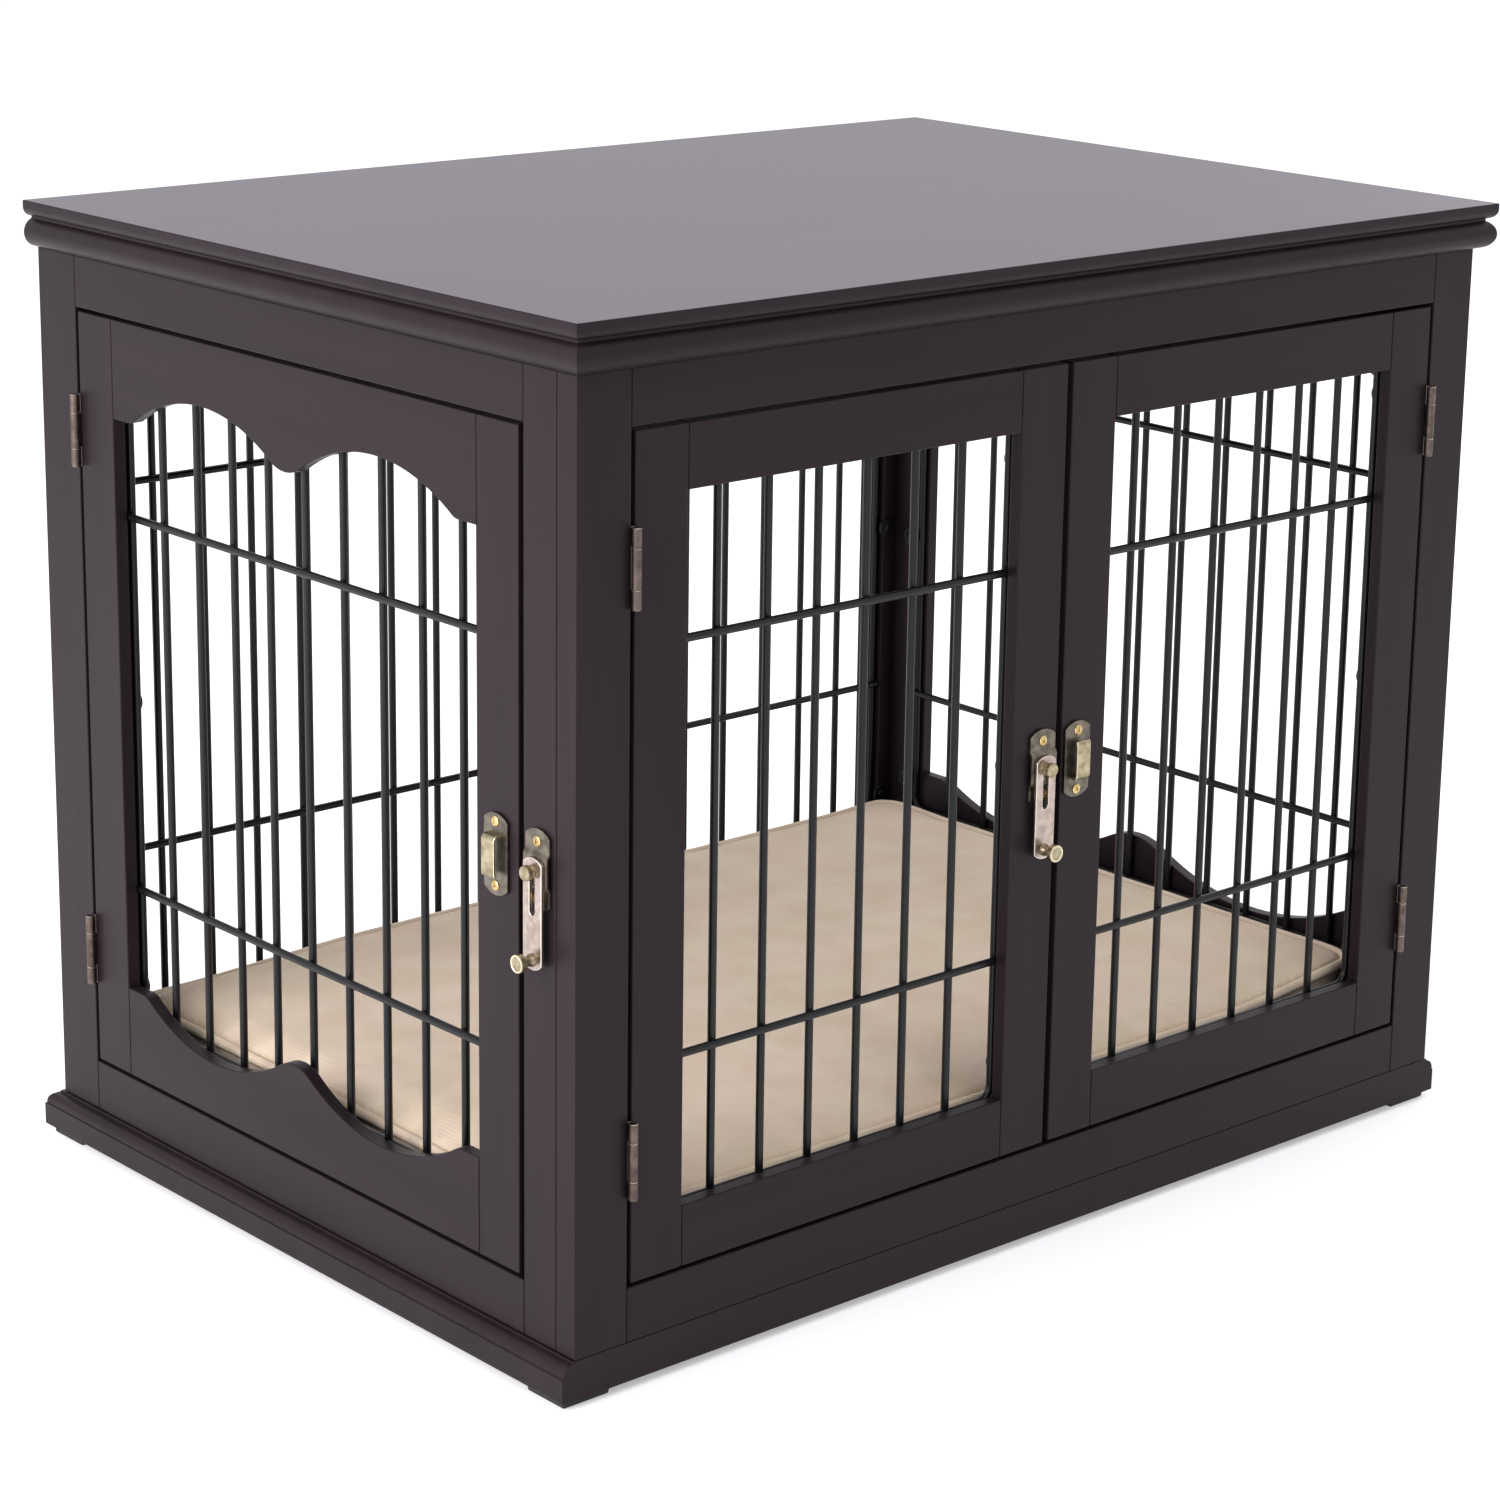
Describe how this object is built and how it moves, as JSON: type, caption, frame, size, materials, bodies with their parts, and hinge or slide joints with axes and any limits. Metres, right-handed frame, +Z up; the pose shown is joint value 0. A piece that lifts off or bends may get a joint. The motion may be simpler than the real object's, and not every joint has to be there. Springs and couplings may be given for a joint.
{
  "type": "dog crate end table",
  "caption": "Wooden dog crate end table with a moulded top, wire grid panels, hinged front and end doors, slotted bar latches and a loose cushion inside.",
  "frame": {"origin": "on the floor, under the middle of the top board", "axes": "+X along the long side, -Y is the front with the paired doors, -X is the end with the single door, +Z up"},
  "size_m": [0.8078, 0.5928, 0.65],
  "materials": {
    "painted_wood": "satin grey paint",
    "black_wire": "satin black coating",
    "antique_brass": "aged, satin",
    "foot_plastic": "matte",
    "cushion_fabric": "woven"
  },
  "bodies": {
    "cabinet": {"top_board": "painted_wood", "base_board": "painted_wood", "foot_front_left": "foot_plastic", "foot_front_right": "foot_plastic", "foot_back_left": "foot_plastic", "foot_back_right": "foot_plastic", "cushion": "cushion_fabric", "front_frame_left_stile": "painted_wood", "front_frame_right_stile": "painted_wood", "front_frame_top_rail": "painted_wood", "front_frame_bottom_rail": "painted_wood", "left_frame_left_stile": "painted_wood", "left_frame_right_stile": "painted_wood", "left_frame_top_rail": "painted_wood", "left_frame_bottom_rail": "painted_wood", "right_panel_front_stile": "painted_wood", "right_panel_back_stile": "painted_wood", "right_panel_top_rail": "painted_wood", "right_panel_bottom_rail": "painted_wood", "right_panel_grid": "black_wire", "back_panel_left_stile": "painted_wood", "back_panel_right_stile": "painted_wood", "back_panel_top_rail": "painted_wood", "back_panel_bottom_rail": "painted_wood", "back_panel_grid": "black_wire", "front_left_door_upper_hinge_frame_leaf": "antique_brass", "front_left_door_lower_hinge_frame_leaf": "antique_brass", "front_right_door_upper_hinge_frame_leaf": "antique_brass", "front_right_door_lower_hinge_frame_leaf": "antique_brass", "end_door_upper_hinge_frame_leaf": "antique_brass", "end_door_lower_hinge_frame_leaf": "antique_brass", "end_latch_plate": "antique_brass"},
    "front_left_door": {"front_left_door_hinge_stile": "painted_wood", "front_left_door_latch_stile": "painted_wood", "front_left_door_top_rail": "painted_wood", "front_left_door_bottom_rail": "painted_wood", "front_left_door_grid": "black_wire", "front_left_door_upper_hinge_door_leaf": "antique_brass", "front_left_door_lower_hinge_door_leaf": "antique_brass", "front_latch_plate": "antique_brass"},
    "front_right_door": {"front_right_door_hinge_stile": "painted_wood", "front_right_door_latch_stile": "painted_wood", "front_right_door_top_rail": "painted_wood", "front_right_door_bottom_rail": "painted_wood", "front_right_door_grid": "black_wire", "front_right_door_upper_hinge_door_leaf": "antique_brass", "front_right_door_lower_hinge_door_leaf": "antique_brass", "front_latch_keeper": "antique_brass"},
    "end_door": {"end_door_hinge_stile": "painted_wood", "end_door_latch_stile": "painted_wood", "end_door_top_rail": "painted_wood", "end_door_bottom_rail": "painted_wood", "end_door_grid": "black_wire", "end_door_upper_hinge_door_leaf": "antique_brass", "end_door_lower_hinge_door_leaf": "antique_brass", "end_latch_keeper": "antique_brass"},
    "front_latch_rivet": {"front_latch_pin": "antique_brass"},
    "front_latch_arm": {"front_latch_bar": "antique_brass"},
    "end_latch_rivet": {"end_latch_pin": "antique_brass"},
    "end_latch_arm": {"end_latch_bar": "antique_brass"}
  },
  "joints": [
    {"name": "front_left_door_swing", "type": "hinge", "parent": "cabinet", "child": "front_left_door", "pos_m": [-0.3495, -0.2793, 0.3255], "axis": [0, 0, -1], "range_deg": [0, 170]},
    {"name": "front_right_door_swing", "type": "hinge", "parent": "cabinet", "child": "front_right_door", "pos_m": [0.3495, -0.2793, 0.3255], "axis": [0, 0, 1], "range_deg": [0, 170]},
    {"name": "end_door_swing", "type": "hinge", "parent": "cabinet", "child": "end_door", "pos_m": [-0.3933, 0.2425, 0.3255], "axis": [0, 0, -1], "range_deg": [0, 170]},
    {"name": "front_latch_turn", "type": "hinge", "parent": "front_left_door", "child": "front_latch_rivet", "pos_m": [-0.016, -0.276, 0.3255], "axis": [0, 1, 0], "range_deg": [0, 270]},
    {"name": "front_latch_slide", "type": "slide", "parent": "front_latch_rivet", "child": "front_latch_arm", "axis": [0, 0, 1], "range_m": [0, 0.024]},
    {"name": "end_latch_turn", "type": "hinge", "parent": "cabinet", "child": "end_latch_rivet", "pos_m": [-0.39, -0.24275, 0.3255], "axis": [1, 0, 0], "range_deg": [0, 90]},
    {"name": "end_latch_slide", "type": "slide", "parent": "end_latch_rivet", "child": "end_latch_arm", "axis": [0, 0, 1], "range_m": [0, 0.024]}
  ]
}
